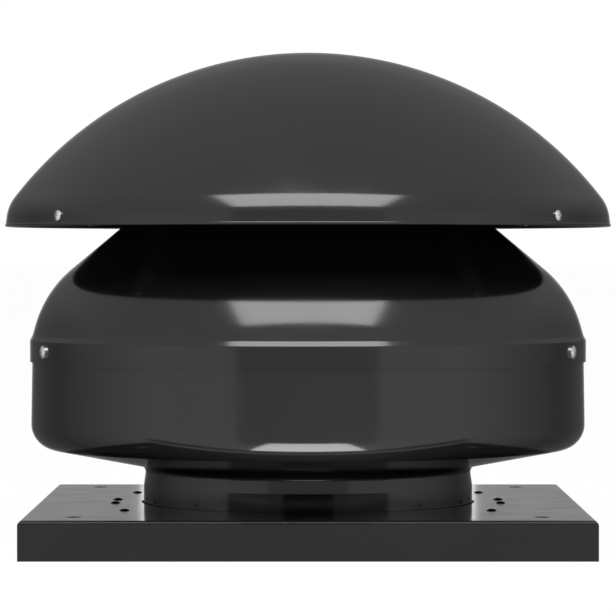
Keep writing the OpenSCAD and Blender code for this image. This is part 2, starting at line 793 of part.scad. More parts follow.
module rotor_can() {
    hub_in = shaft_r + fit_gap;
    hub_r = shaft_r * 2.25;
    hub_top = lower_bearing_z - seat_gap;
    step_w = shaft_r * 0.37;
    step_h = 3 * seat_gap + rotor_wall;
    can_bend = rotor_wall * 1.7;
    color(paint) difference() {
        rotate_extrude() {
            sheet_section([[hub_in, can_z, 0], [rotor_r, can_z, can_bend], [rotor_r, can_top, 0]],
                          rotor_wall);
            translate([hub_in, can_z]) square([hub_r - hub_in, hub_top - step_h - can_z]);
            translate([hub_in, can_z]) square([step_w, hub_top - can_z]);
            translate([rotor_r - rotor_wall, rim_flange_z])
                square([rim_flange_w + rotor_wall, rim_flange_t]);
        }
        at_impeller_screws()
            cylinder(r = machine_screw_d / 2 + fit_gap, h = impeller_sheet + rim_flange_t + past);
    }
}

module rotor_ring() {
    outer = rotor_r - rotor_wall - fit_gap;
    color(steel) ring_at(outer - rotor_ring_t, outer, core_z, core_height);
}

// Impeller
module at_impeller_screws() {
    for (i = [0:impeller_screw_count - 1]) rotate(i * 360 / impeller_screw_count)
        translate([impeller_screw_r, 0, backplate_z]) children();
}

module impeller_backplate() {
    color(steel) difference() {
        ring_at(rotor_r + seat_gap, impeller_r, backplate_z, impeller_sheet);
        at_impeller_screws() translate([0, 0, -past])
            cylinder(r = machine_screw_d / 2 + screw_gap, h = impeller_sheet + 2 * past);
    }
}

function shroud_corners() =
    [[eye_r + impeller_sheet, eye_z, 0], [eye_r + impeller_sheet, eye_z + shroud_lip, shroud_bend],
     [impeller_r, eye_z + shroud_lip + shroud_rise, 0]];

module impeller_shroud() {
    color(steel) rotate_extrude() sheet_section(shroud_corners(), impeller_sheet);
}

// Curved strip of one backward-curved blade, a circular arc that meets both blade angles
module blade_strip() {
    out_r = impeller_r - blade_set_in;
    curve_r = (out_r * out_r - blade_in_r * blade_in_r)
        / (2 * (out_r * cos(blade_out_angle) - blade_in_r * cos(blade_in_angle)));
    centre = sqrt(curve_r * curve_r + blade_in_r * blade_in_r
        - 2 * curve_r * blade_in_r * cos(blade_in_angle));
    intersection() {
        translate([0, -centre]) difference() {
            circle(r = curve_r, $fn = 360);
            circle(r = curve_r - blade_t, $fn = 360);
        }
        circle(r = out_r);
        translate([0, -out_r]) square([out_r, 2 * out_r]);
    }
}

module impeller_blades() {
    above_shroud = shifted(rounded(shroud_corners()), impeller_sheet + fit_gap);
    space = concat([for (p = above_shroud) if (p[0] > blade_low_r) p],
                   [[impeller_r + past, backplate_z - fit_gap], [blade_in_r, backplate_z - fit_gap]]);
    color(steel) for (i = [0:blade_count - 1]) rotate(i * 360 / blade_count) intersection() {
        translate([0, 0, eye_z]) linear_extrude(impeller_height) blade_strip();
        rotate_extrude() polygon(space);
    }
}

module impeller_screws() {
    color(steel) at_impeller_screws() translate([0, 0, -fit_gap]) rotate([180, 0, 0])
        pan_screw(machine_screw_d, machine_head_d * 0.92, impeller_sheet + rim_flange_t * 0.9);
}

// Terminal box on the spider
module lead_hole(low, high) {
    translate([lead_x, 0, low - past]) cylinder(r = lead_d / 2 + screw_gap, h = high - low + 2 * past);
}

module at_box_fixings() {
    for (y = [-1, 1])
        translate([-box_l / 2 + box_fixing_in, y * (box_w / 2 - 2 * box_fixing_in), box_z + box_wall])
            children();
}

module at_lid_screws() {
    for (x = [-1, 1], y = [-1, 1])
        translate([x * (box_l / 2 - lid_screw_in), y * (box_w / 2 - lid_screw_in), lid_z + lid_t]) children();
}

module terminal_box() {
    boss_r = lid_screw_in - box_wall / 2;
    screw_depth = 12;
    color(plastic) difference() {
        translate([0, 0, box_z]) union() {
            difference() {
                rounded_block([box_l, box_w, box_h], box_edge_r);
                translate([0, 0, box_wall])
                    rounded_block([box_l - 2 * box_wall, box_w - 2 * box_wall, box_h], box_edge_r - box_wall);
            }
            for (x = [-1, 1], y = [-1, 1])
                translate([x * (box_l / 2 - lid_screw_in), y * (box_w / 2 - lid_screw_in), 0])
                    cylinder(r = boss_r, h = box_h);
        }
        at_lid_screws() translate([0, 0, -lid_t - screw_depth])
            cylinder(r = hood_screw_d / 2 + fit_gap, h = screw_depth + past);
        at_box_fixings() translate([0, 0, -box_wall - past])
            cylinder(r = hood_screw_d / 2 + screw_gap, h = box_wall + 2 * past);
        lead_hole(box_z, box_z + box_wall);
        translate([0, box_w / 2 - box_wall - past, gland_z]) rotate([-90, 0, 0])
            cylinder(r = gland_thread_d / 2 + screw_gap, h = box_wall + 2 * past);
    }
}

module terminal_box_lid() {
    color(plastic) difference() {
        translate([0, 0, lid_z]) rounded_block([box_l, box_w, lid_t], box_edge_r);
        at_lid_screws() translate([0, 0, -lid_t - past])
            cylinder(r = hood_screw_d / 2 + screw_gap, h = lid_t + 2 * past);
    }
}

module box_screws() {
    color(steel) {
        at_lid_screws() translate([0, 0, fit_gap]) pan_screw(hood_screw_d, hood_head_d, lid_t + 8);
        at_box_fixings() translate([0, 0, fit_gap])
            pan_screw(hood_screw_d, hood_head_d, box_wall + spider_sheet - fit_gap);
    }
}

block_size = [12, 26, 11];
well_depth = 4;
capacitor_r = 8;
capacitor_l = 22;

module terminal_block() {
    face_x = lead_x - lead_d / 2 - seat_gap;
    color(alloy) translate([face_x - block_size[0], 0, box_z + box_wall]) difference() {
        translate([0, -block_size[1] / 2, 0]) cube(block_size);
        for (i = [-1:1]) translate([block_size[0] / 2, i * block_size[1] * 0.31, block_size[2] - well_depth])
            cylinder(d = block_size[0] * 0.37, h = well_depth + past);
    }
}

module run_capacitor() {
    color(alloy) translate([-box_l / 6, 0, box_z + box_wall + capacitor_r]) rotate([90, 0, 0])
        cylinder(r = capacitor_r, h = capacitor_l, center = true);
}

// The lead rises from the winding along the side of the terminal block
module motor_lead() {
    start_z = winding_z + seat_gap;
    end_z = box_z + box_wall + block_size[2] * 0.6;
    color(plastic) translate([lead_x, 0, start_z]) cylinder(d = lead_d, h = end_z - start_z);
}

// Cable gland in the box's rear wall, local +Z pointing out to the rear
module at_gland() {
    translate([0, box_w / 2, gland_z]) rotate([-90, 0, 0]) children();
}

gland_hex_t = 5;
gland_cap_t = 8;
gland_cone_t = 4;
locknut_t = 4;
gland_neck_d = gland_thread_d * 0.9;
gland_nut_d = gland_thread_d * 1.3;

module cable_gland() {
    inner_end = box_wall + 1.5 * locknut_t;
    length = inner_end + gland_hex_t + gland_cap_t;
    color(plastic) at_gland() difference() {
        union() {
            translate([0, 0, -inner_end]) cylinder(d = gland_thread_d, h = inner_end + gland_hex_t / 2);
            translate([0, 0, fit_gap]) cylinder(d = gland_thread_d * 1.38, h = gland_hex_t, $fn = 6);
            translate([0, 0, gland_hex_t]) cylinder(d = gland_neck_d, h = gland_cap_t);
        }
        translate([0, 0, -inner_end - past]) cylinder(d = gland_bore_d + 1, h = length + 2 * past);
    }
}

module gland_cap() {
    cap_z = gland_hex_t + 2 * seat_gap;
    color(plastic) at_gland() translate([0, 0, cap_z]) difference() {
        union() {
            cylinder(d = gland_nut_d, h = gland_cap_t, $fn = 6);
            translate([0, 0, gland_cap_t])
                cylinder(r1 = gland_thread_d * 0.56, r2 = gland_bore_d * 0.68, h = gland_cone_t);
        }
        translate([0, 0, -past]) cylinder(d = gland_neck_d + 2 * fit_gap, h = gland_cap_t + past);
        cylinder(d = gland_bore_d, h = gland_cap_t + gland_cone_t + past);
    }
}

module gland_locknut() {
    color(plastic) at_gland() translate([0, 0, -box_wall - seat_gap - locknut_t]) difference() {
        cylinder(d = gland_nut_d, h = locknut_t, $fn = 6);
        translate([0, 0, -past]) cylinder(d = gland_thread_d + 2 * fit_gap, h = locknut_t + 2 * past);
    }
}

base_plate();
inlet_nozzle();
collar_rivets();
lower_shell();
upper_shell();
band_screws();
band_nuts();
motor_spider();
outlet_guard();
hood();
hood_bracket_1();
hood_bracket_2();
hood_bracket_3();
hood_bracket_4();
hood_screws();
hood_nuts();
bracket_rivets();
motor_flange();
motor_screws();
bearing_cap();
stator_core();
stator_winding();
bearing_outer_rings();
bearing_balls();
bearing_inner_rings();
wave_washer();
shaft();
circlip();
rotor_can();
rotor_ring();
impeller_backplate();
impeller_blades();
impeller_shroud();
impeller_screws();
terminal_box();
terminal_box_lid();
box_screws();
terminal_block();
run_capacitor();
motor_lead();
cable_gland();
gland_cap();
gland_locknut();
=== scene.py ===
"""Looks of the roof exhaust fan: paint, metals and plastics, studio light and camera."""
import json
import math

import bpy
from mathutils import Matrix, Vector


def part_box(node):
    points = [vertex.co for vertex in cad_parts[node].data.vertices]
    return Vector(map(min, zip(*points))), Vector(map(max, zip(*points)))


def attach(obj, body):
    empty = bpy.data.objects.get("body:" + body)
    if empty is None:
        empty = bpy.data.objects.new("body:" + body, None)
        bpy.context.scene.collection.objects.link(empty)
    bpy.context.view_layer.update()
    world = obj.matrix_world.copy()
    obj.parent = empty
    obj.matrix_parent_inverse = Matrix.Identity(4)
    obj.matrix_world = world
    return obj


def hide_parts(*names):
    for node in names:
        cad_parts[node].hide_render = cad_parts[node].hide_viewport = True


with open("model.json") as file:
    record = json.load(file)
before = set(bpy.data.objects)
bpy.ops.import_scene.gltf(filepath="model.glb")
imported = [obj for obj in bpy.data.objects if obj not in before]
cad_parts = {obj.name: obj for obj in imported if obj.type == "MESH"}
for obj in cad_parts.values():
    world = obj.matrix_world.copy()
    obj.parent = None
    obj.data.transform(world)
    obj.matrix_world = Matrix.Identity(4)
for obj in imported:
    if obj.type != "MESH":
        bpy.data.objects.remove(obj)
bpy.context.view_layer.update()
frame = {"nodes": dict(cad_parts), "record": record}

MM = 0.001
WHITE = (1.0, 1.0, 1.0, 1.0)

# Turned sheet pieces: segments round the axis, and the largest turn of one facet along a bend
TURNS = 288
BEND_STEP = math.radians(2.5)
CROWN_STEP = math.radians(1.0)


def unit(x, y):
    length = math.hypot(x, y)
    return x / length, y / length


def bend_points(before, corner, after, radius):
    """Points and left normals along the arc that rounds a corner of a sheet's outer line."""
    ux, uy = unit(before[0] - corner[0], before[1] - corner[1])
    vx, vy = unit(after[0] - corner[0], after[1] - corner[1])
    half = math.acos(ux * vx + uy * vy) / 2
    cut = min(radius / math.tan(half),
              0.8 * math.dist(before[:2], corner[:2]), 0.8 * math.dist(after[:2], corner[:2]))
    size = cut * math.tan(half)
    wx, wy = unit(ux + vx, uy + vy)
    centre = (corner[0] + wx * size / math.sin(half), corner[1] + wy * size / math.sin(half))
    side = -1 if ux * vy - uy * vx > 0 else 1
    start = math.atan2(corner[1] + uy * cut - centre[1], corner[0] + ux * cut - centre[0])
    turn = math.pi - 2 * half
    steps = max(3, math.ceil(turn / BEND_STEP))
    points = []
    for i in range(steps + 1):
        angle = start + side * turn * i / steps
        c, s = math.cos(angle), math.sin(angle)
        points.append(((centre[0] + size * c, centre[1] + size * s), (-side * c, -side * s)))
    return points


def sheet_line(corners):
    """Points and left normals along a sheet's outer line through corners (x, y, bend radius)."""
    line = []
    for i, corner in enumerate(corners):
        if corner[2] > 0:
            line += bend_points(corners[i - 1], corner, corners[i + 1], corner[2])
            continue
        for a, b in ((i - 1, i), (i, i + 1)):
            if a >= 0 and b < len(corners):
                dx, dy = unit(corners[b][0] - corners[a][0], corners[b][1] - corners[a][1])
                line.append(((corner[0], corner[1]), (-dy, dx)))
    return line


def inner_line(line, thickness):
    """The sheet's inner line, with the same points and normals moved to the left."""
    inner = []
    for i, (point, normal) in enumerate(line):
        other = normal
        for k in (i - 1, i + 1):
            if 0 <= k < len(line) and math.dist(line[k][0], point) < 1e-9:
                other = line[k][1]
        sx, sy = normal[0] + other[0], normal[1] + other[1]
        scale = 2 * thickness / (sx * sx + sy * sy)
        inner.append(((point[0] + sx * scale, point[1] + sy * scale), normal))
    return inner


def sheet_loop(line, thickness):
    """Closed section of a bent sheet: each entry is a point and its outward normal."""
    inner = inner_line(line, thickness)
    outer_side = [(p, (-n[0], -n[1])) for p, n in line]
    inner_side = [(p, n) for p, n in reversed(inner)]
    last = line[-1][1]
    first = line[0][1]
    end = (last[1], -last[0])
    start = (-first[1], first[0])
    return (outer_side + [(line[-1][0], end), (inner[-1][0], end)]
            + inner_side + [(inner[0][0], start), (line[0][0], start)])


def lathe(name, loop):
    """Turns a closed section (radius and height in mm) round the axis, with exact face normals."""
    rows = []
    verts = []
    corner_rows = []
    for point, _ in loop:
        if not rows or math.dist(point, rows[-1]) > 1e-7:
            rows.append(point)
        corner_rows.append(len(rows) - 1)
    if math.dist(rows[0], rows[-1]) < 1e-7:
        rows.pop()
        corner_rows = [row % len(rows) for row in corner_rows]
    ring = []
    for radius, height in rows:
        if radius < 1e-6:
            ring.append([len(verts)] * TURNS)
            verts.append((0.0, 0.0, height * MM))
            continue
        ring.append(list(range(len(verts), len(verts) + TURNS)))
        for i in range(TURNS):
            a = 2 * math.pi * i / TURNS
            verts.append((radius * math.cos(a) * MM, radius * math.sin(a) * MM, height * MM))
    faces = []
    normals = []
    for k in range(len(loop)):
        after = (k + 1) % len(loop)
        low, high = corner_rows[k], corner_rows[after]
        if low == high or (loop[k][0][0] < 1e-6 and loop[after][0][0] < 1e-6):
            continue
        for i in range(TURNS):
            j = (i + 1) % TURNS
            corners = [(ring[low][i], k, i), (ring[low][j], k, j),
                       (ring[high][j], after, j), (ring[high][i], after, i)]
            kept = [c for n, c in enumerate(corners) if c[0] != corners[n - 1][0]]
            faces.append([c[0] for c in kept])
            for _, entry, turn in kept:
                a = 2 * math.pi * turn / TURNS
                nr, nz = loop[entry][1]
                normals.append((nr * math.cos(a), nr * math.sin(a), nz))
    mesh = bpy.data.meshes.new(name)
    mesh.from_pydata(verts, [], faces)
    mesh.polygons.foreach_set("use_smooth", [True] * len(faces))
    mesh.normals_split_custom_set(normals)
    obj = bpy.data.objects.new(name, mesh)
    bpy.context.scene.collection.objects.link(obj)
    return obj


# Sheet pieces, in mm, from the driving sizes of the part
SHELL_SHEET = 1.1
HOOD_SHEET = 1.0
CASING_R = 152.9
WALL_FLARE = 0.9
NECK_R = 91.3
NECK_TAPER = 1.4
NECK_BEND = 1.0
NECK_FILLET = 4.0
FLANGE_R = 129.0
PLATE_TOP = 21.0
PLATE_SHEET = 1.5
NECK_HEIGHT = 19.9
FLOOR_SLOPE = math.radians(10.8)
FLOOR_BEND = 14.0
WALL_HEIGHT = 60.5
JOGGLE_HEIGHT = 2.6
WALL_TOP_GAP = 0.45
BAND_GAP = 0.3
BAND_HEIGHT = 14.4
SHOULDER_RISE = 24.4
SHOULDER_LEAN = math.radians(15.8)
SHOULDER_BEND = 62.0
CONE_SLOPE = math.radians(39.8)
MOUTH_R = 79.4
MOUTH_COLLAR = 8.0
CROWN_R = 205.0
CROWN_BEND = 22.0
SKIRT_LEAN = math.radians(7)
BEAD_R = 1.0
BEAD_PROUD = 0.3
BEAD_STEPS = 20

floor_z = PLATE_TOP + NECK_HEIGHT
wall_foot_r = CASING_R + WALL_FLARE
wall_foot_z = floor_z + (wall_foot_r - NECK_R + NECK_TAPER) * math.tan(FLOOR_SLOPE)
seam_z = wall_foot_z + WALL_HEIGHT
joggle_z = seam_z - JOGGLE_HEIGHT
band_r = CASING_R + BAND_GAP + SHELL_SHEET
shoulder_r = CASING_R - SHOULDER_RISE * math.tan(SHOULDER_LEAN)
shoulder_z = seam_z + SHOULDER_RISE
mouth_z = shoulder_z + (shoulder_r - MOUTH_R) * math.tan(CONE_SLOPE)
hood_low, hood_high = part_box("hood")
rim_z = hood_low.z / MM
top_z = hood_high.z / MM
hood_r = hood_high.x / MM - BEAD_PROUD


def lower_shell_loop():
    flange_z = PLATE_TOP - PLATE_SHEET
    return sheet_loop(sheet_line([
        (FLANGE_R, flange_z, 0), (NECK_R, flange_z, NECK_BEND),
        (NECK_R, (PLATE_TOP + floor_z) / 2, 0), (NECK_R - NECK_TAPER, floor_z, NECK_FILLET),
        (wall_foot_r, wall_foot_z, FLOOR_BEND), (CASING_R, joggle_z - WALL_TOP_GAP, 0)]), SHELL_SHEET)


def upper_shell_loop():
    return sheet_loop(sheet_line([
        (band_r, seam_z - BAND_HEIGHT, 0), (band_r, joggle_z, SHELL_SHEET),
        (CASING_R, seam_z, SHELL_SHEET), (shoulder_r, shoulder_z, SHOULDER_BEND),
        (MOUTH_R, mouth_z, 2 * SHELL_SHEET), (MOUTH_R, mouth_z + MOUTH_COLLAR, 0)]), SHELL_SHEET)


def bead_meets(centre, start, up):
    """Where a line of the skirt leaves the bead, and its angle there."""
    x, y = start[0] - centre[0], start[1] - centre[1]
    along = x * up[0] + y * up[1]
    reach = -along + math.sqrt(along * along - x * x - y * y + BEAD_R * BEAD_R)
    point = (start[0] + reach * up[0], start[1] + reach * up[1])
    return point, math.atan2(point[1] - centre[1], point[0] - centre[0])


def hood_loop():
    foot = (hood_r, rim_z + BEAD_R)
    out = (math.cos(SKIRT_LEAN), math.sin(SKIRT_LEAN))
    up = (-out[1], out[0])
    crown_z = top_z - CROWN_R
    x, y = foot[0] - CROWN_BEND * out[0], foot[1] - CROWN_BEND * out[1] - crown_z
    along = x * up[0] + y * up[1]
    reach = -along + math.sqrt(along * along - x * x - y * y + (CROWN_R - CROWN_BEND) ** 2)
    centre = (x + reach * up[0], y + reach * up[1] + crown_z)
    crown_angle = math.atan2(centre[1] - crown_z, centre[0])

    def face(depth):
        points = []
        steps = math.ceil((crown_angle - SKIRT_LEAN) / BEND_STEP)
        for i in range(steps + 1):
            a = SKIRT_LEAN + (crown_angle - SKIRT_LEAN) * i / steps
            c, s = math.cos(a), math.sin(a)
            r = CROWN_BEND - depth
            points.append(((centre[0] + r * c, centre[1] + r * s), (c, s)))
        steps = math.ceil((math.pi / 2 - crown_angle) / CROWN_STEP)
        for i in range(1, steps + 1):
            a = crown_angle + (math.pi / 2 - crown_angle) * i / steps
            c, s = (math.cos(a), math.sin(a)) if i < steps else (0.0, 1.0)
            r = CROWN_R - depth
            points.append(((r * c, crown_z + r * s), (c, s)))
        return points

    bead = (hood_r + BEAD_PROUD - BEAD_R, rim_z + BEAD_R)
    inner_foot = (foot[0] - HOOD_SHEET * out[0], foot[1] - HOOD_SHEET * out[1])
    outer_start, outer_angle = bead_meets(bead, foot, up)
    inner_start, inner_angle = bead_meets(bead, inner_foot, up)
    turn = outer_angle + 2 * math.pi - inner_angle
    curl = []
    for i in range(BEAD_STEPS + 1):
        a = inner_angle + turn * i / BEAD_STEPS
        c, s = math.cos(a), math.sin(a)
        curl.append(((bead[0] + BEAD_R * c, bead[1] + BEAD_R * s), (c, s)))
    inner = [(p, (-n[0], -n[1])) for p, n in reversed(face(HOOD_SHEET))]
    return (curl + [(outer_start, out)] + face(0)
            + inner + [(inner_start, (-out[0], -out[1]))])


def sheet_piece(name, loop, node):
    obj = lathe(name, loop)
    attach(obj, "housing")
    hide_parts(node)
    return obj


painted = [sheet_piece("painted_hood", hood_loop(), "hood"),
           sheet_piece("painted_upper_shell", upper_shell_loop(), "upper_shell"),
           sheet_piece("painted_lower_shell", lower_shell_loop(), "lower_shell")]


# Materials
class Finish:
    """A node material with short ways to add textures in object space."""

    def __init__(self, name, base, metallic, roughness, specular=0.5):
        self.material = bpy.data.materials.new(name)
        self.material.use_nodes = True
        self.tree = self.material.node_tree
        self.shader = self.tree.nodes["Principled BSDF"]
        self.shader.inputs["Base Color"].default_value = (*base, 1)
        self.shader.inputs["Metallic"].default_value = metallic
        self.shader.inputs["Roughness"].default_value = roughness
        self.shader.inputs["Specular IOR Level"].default_value = specular
        self.place = self.node("ShaderNodeTexCoord").outputs["Object"]
        self.normal = None

    def node(self, kind, **settings):
        node = self.tree.nodes.new(kind)
        for key, value in settings.items():
            setattr(node, key, value)
        return node

    def link(self, output, node, socket):
        self.tree.links.new(output, node.inputs[socket])

    def noise(self, scale, detail=2.0, stretch=None):
        texture = self.node("ShaderNodeTexNoise")
        texture.inputs["Scale"].default_value = scale
        texture.inputs["Detail"].default_value = detail
        place = self.place
        if stretch:
            mapping = self.node("ShaderNodeMapping")
            mapping.inputs["Scale"].default_value = stretch
            self.link(place, mapping, "Vector")
            place = mapping.outputs["Vector"]
        self.link(place, texture, "Vector")
        return texture.outputs["Fac"]

    def cells(self, scale):
        texture = self.node("ShaderNodeTexVoronoi")
        texture.inputs["Scale"].default_value = scale
        self.link(self.place, texture, "Vector")
        return texture.outputs["Color"]

    def ramp(self, value, low, high, start=0.3, end=0.7):
        """Colour or number between low and high, driven by a texture."""
        ramp = self.node("ShaderNodeValToRGB")
        for element, position, level in zip(ramp.color_ramp.elements, (start, end), (low, high)):
            element.position = position
            element.color = (*level, 1) if hasattr(level, "__len__") else (level, level, level, 1)
        self.link(value, ramp, "Fac")
        return ramp.outputs["Color"]

    def colour(self, value, low, high, start=0.3, end=0.7):
        self.link(self.ramp(value, low, high, start, end), self.shader, "Base Color")

    def rough(self, value, low, high, start=0.3, end=0.7):
        self.link(self.ramp(value, low, high, start, end), self.shader, "Roughness")

    def bump(self, value, distance, strength=1.0):
        bump = self.node("ShaderNodeBump")
        bump.inputs["Distance"].default_value = distance
        bump.inputs["Strength"].default_value = strength
        self.link(value, bump, "Height")
        if self.normal is not None:
            self.link(self.normal, bump, "Normal")
        self.normal = bump.outputs["Normal"]
        self.link(self.normal, self.shader, "Normal")


def black_paint():
    f = Finish("gloss_black_paint", (0.006, 0.006, 0.0064), 0.0, 0.13)
    f.colour(f.noise(9, 3), (0.0050, 0.0050, 0.0054), (0.0078, 0.0078, 0.0082))
    f.rough(f.noise(45, 4), 0.11, 0.16)
    f.bump(f.noise(28, 2), 0.00005, 0.3)
    f.bump(f.noise(720, 3), 0.000045, 0.32)
    return f.material


def zinc_steel():
    f = Finish("zinc_plated_steel", (0.66, 0.66, 0.64), 1.0, 0.26)
    f.colour(f.noise(350, 3), (0.56, 0.56, 0.53), (0.74, 0.74, 0.72))
    f.rough(f.noise(900, 4), 0.18, 0.36)
    f.bump(f.noise(2500, 2), 0.00002, 0.4)
    return f.material


def galvanised_sheet():
    f = Finish("galvanised_sheet", (0.55, 0.57, 0.58), 1.0, 0.38)
    f.colour(f.cells(130), (0.45, 0.47, 0.48), (0.62, 0.64, 0.65), 0.0, 1.0)
    f.rough(f.cells(130), 0.28, 0.48, 0.0, 1.0)
    f.bump(f.noise(600, 3), 0.00003, 0.4)
    return f.material


def bright_steel():
    f = Finish("ground_steel", (0.60, 0.61, 0.62), 1.0, 0.2)
    f.colour(f.noise(200, 2), (0.55, 0.56, 0.57), (0.65, 0.66, 0.67))
    f.rough(f.noise(1500, 3, (1, 1, 0.05)), 0.14, 0.30)
    f.bump(f.noise(1800, 2, (1, 1, 0.04)), 0.00001, 0.5)
    return f.material


def motor_paint():
    f = Finish("motor_paint", (0.03, 0.03, 0.032), 0.0, 0.42)
    f.colour(f.noise(60, 3), (0.024, 0.024, 0.026), (0.037, 0.037, 0.039))
    f.rough(f.noise(300, 3), 0.36, 0.50)
    f.bump(f.noise(900, 4), 0.00008, 0.5)
    return f.material


def core_steel():
    f = Finish("laminated_core", (0.20, 0.20, 0.21), 1.0, 0.5)
    f.colour(f.noise(40, 2, (1, 1, 60)), (0.12, 0.12, 0.13), (0.28, 0.28, 0.29))
    f.rough(f.noise(300, 3), 0.42, 0.6)
    f.bump(f.noise(40, 1, (0.2, 0.2, 60)), 0.0001, 0.6)
    return f.material


def cast_alloy():
    f = Finish("cast_aluminium", (0.60, 0.61, 0.62), 1.0, 0.45)
    f.colour(f.noise(90, 4), (0.52, 0.53, 0.54), (0.67, 0.68, 0.69))
    f.rough(f.noise(400, 4), 0.38, 0.56)
    f.bump(f.noise(800, 4), 0.00009, 0.5)
    return f.material


def winding():
    f = Finish("varnished_winding", (0.45, 0.17, 0.06), 0.6, 0.34)
    f.colour(f.noise(700, 2, (1, 1, 0.5)), (0.30, 0.10, 0.035), (0.58, 0.24, 0.09))
    f.rough(f.noise(200, 3), 0.26, 0.42)
    f.bump(f.noise(1300, 1, (1, 1, 2)), 0.0002, 0.7)
    return f.material


def moulded(name, low, high, rough_low, rough_high):
    middle = tuple((a + b) / 2 for a, b in zip(low, high))
    f = Finish(name, middle, 0.0, (rough_low + rough_high) / 2)
    f.colour(f.noise(50, 3), low, high)
    f.rough(f.noise(250, 3), rough_low, rough_high)
    f.bump(f.noise(1500, 4), 0.00004, 0.5)
    return f.material


def grey_plastic():
    return moulded("grey_moulded_plastic", (0.090, 0.095, 0.10), (0.11, 0.115, 0.12), 0.42, 0.54)


def block_plastic():
    return moulded("pale_moulded_plastic", (0.70, 0.70, 0.65), (0.80, 0.80, 0.75), 0.40, 0.52)


def can_aluminium():
    f = Finish("drawn_aluminium", (0.68, 0.69, 0.70), 1.0, 0.3)
    f.colour(f.noise(120, 2), (0.62, 0.63, 0.64), (0.73, 0.74, 0.75))
    f.rough(f.noise(900, 2, (1, 0.05, 1)), 0.22, 0.38)
    f.bump(f.noise(1400, 2, (1, 0.04, 1)), 0.00001, 0.6)
    return f.material


def lead_sheath():
    return moulded("cable_sheath", (0.024, 0.024, 0.024), (0.036, 0.036, 0.036), 0.46, 0.60)


MAKERS = {"black_paint": black_paint, "zinc_steel": zinc_steel, "galvanised_sheet": galvanised_sheet,
          "bright_steel": bright_steel, "motor_paint": motor_paint, "core_steel": core_steel,
          "cast_alloy": cast_alloy, "winding": winding, "grey_plastic": grey_plastic,
          "block_plastic": block_plastic, "can_aluminium": can_aluminium, "lead_sheath": lead_sheath}
materials = {slot: make() for slot, make in MAKERS.items()}

for part in frame["record"]["subparts"]:
    data = frame["nodes"][part["node"]].data
    if not data.materials:
        data.materials.append(None)
    for i in range(len(data.materials)):
        data.materials[i] = materials[part["material_slot"]]
for obj in painted:
    obj.data.materials.append(materials["black_paint"])


# World: white for the camera, a soft studio gradient in reflections, a plain level of fill light
def studio_world():
    world = bpy.data.worlds.new("studio")
    world.use_nodes = True
    bpy.context.scene.world = world
    tree = world.node_tree
    tree.nodes.clear()

    def node(kind, **settings):
        made = tree.nodes.new(kind)
        for key, value in settings.items():
            setattr(made, key, value)
        return made

    def ramp(value, stops):
        made = node("ShaderNodeValToRGB")
        elements = made.color_ramp.elements
        while len(elements) > 1:
            elements.remove(elements[-1])
        elements[0].position, level = stops[0]
        elements[0].color = (level, level, level, 1)
        for position, level in stops[1:]:
            element = elements.new(position)
            element.color = (level, level, level, 1)
        tree.links.new(value, made.inputs["Fac"])
        return made.outputs["Color"]

    def background(colour, strength):
        made = node("ShaderNodeBackground")
        made.inputs["Strength"].default_value = strength
        if colour is None:
            made.inputs["Color"].default_value = WHITE
        else:
            tree.links.new(colour, made.inputs["Color"])
        return made.outputs["Background"]

    def mix(factor, a, b):
        made = node("ShaderNodeMixShader")
        tree.links.new(factor, made.inputs[0])
        tree.links.new(a, made.inputs[1])
        tree.links.new(b, made.inputs[2])
        return made.outputs["Shader"]

    direction = node("ShaderNodeTexCoord").outputs["Generated"]
    split = node("ShaderNodeSeparateXYZ")
    tree.links.new(direction, split.inputs["Vector"])

    def half_range(output):
        """A direction's component, from -1 to 1, as 0 to 1."""
        made = node("ShaderNodeMath", operation="MULTIPLY_ADD")
        made.inputs[1].default_value = 0.5
        made.inputs[2].default_value = 0.5
        tree.links.new(output, made.inputs[0])
        return made.outputs["Value"]

    depth = half_range(split.outputs["Y"])
    height = half_range(split.outputs["Z"])
    low = ramp(depth, LOW_RING)
    high = ramp(depth, HIGH_RING)
    share = ramp(height, HEIGHT_MIX)
    blend = node("ShaderNodeMix", data_type="RGBA")
    tree.links.new(share, blend.inputs["Factor"])
    tree.links.new(low, blend.inputs["A"])
    tree.links.new(high, blend.inputs["B"])
    rays = node("ShaderNodeLightPath")
    fill = background(None, FILL_LEVEL)
    mirrored = background(blend.outputs["Result"], 1.0)
    seen = background(None, 1.0)
    glossy = mix(rays.outputs["Is Glossy Ray"], fill, mirrored)
    through = mix(rays.outputs["Is Transmission Ray"], glossy, seen)
    final = mix(rays.outputs["Is Camera Ray"], through, seen)
    tree.links.new(final, node("ShaderNodeOutputWorld").inputs["Surface"])


# Levels of the reflected studio against depth (0 in front of the object, 1 behind it)
LOW_RING = [(0.0, 1.0), (0.29, 1.0), (0.45, 0.72), (0.62, 0.42), (0.78, 0.16), (0.978, 0.12),
            (0.992, 0.4)]
HIGH_RING = [(0.0, 0.85), (0.35, 0.76), (0.6, 0.62), (0.8, 0.42), (0.92, 0.27), (1.0, 0.24)]
HEIGHT_MIX = [(0.52, 0.0), (0.70, 1.0)]
FILL_LEVEL = 0.35
studio_world()


def area_light(name, place, target, width, height, level, lit=None):
    """Rectangular lamp turned to a target, with its face's brightness, for all pieces or those in lit."""
    lamp = bpy.data.lights.new(name, "AREA")
    lamp.shape = "RECTANGLE"
    lamp.size = width
    lamp.size_y = height
    lamp.energy = level * math.pi * width * height
    obj = bpy.data.objects.new(name, lamp)
    obj.location = place
    obj.rotation_euler = (Vector(target) - Vector(place)).to_track_quat("-Z", "Y").to_euler()
    obj.visible_camera = False
    bpy.context.scene.collection.objects.link(obj)
    if lit:
        receivers = bpy.data.collections.new(name + "_receivers")
        for piece in lit:
            receivers.objects.link(piece)
        obj.light_linking.receiver_collection = receivers
    return obj


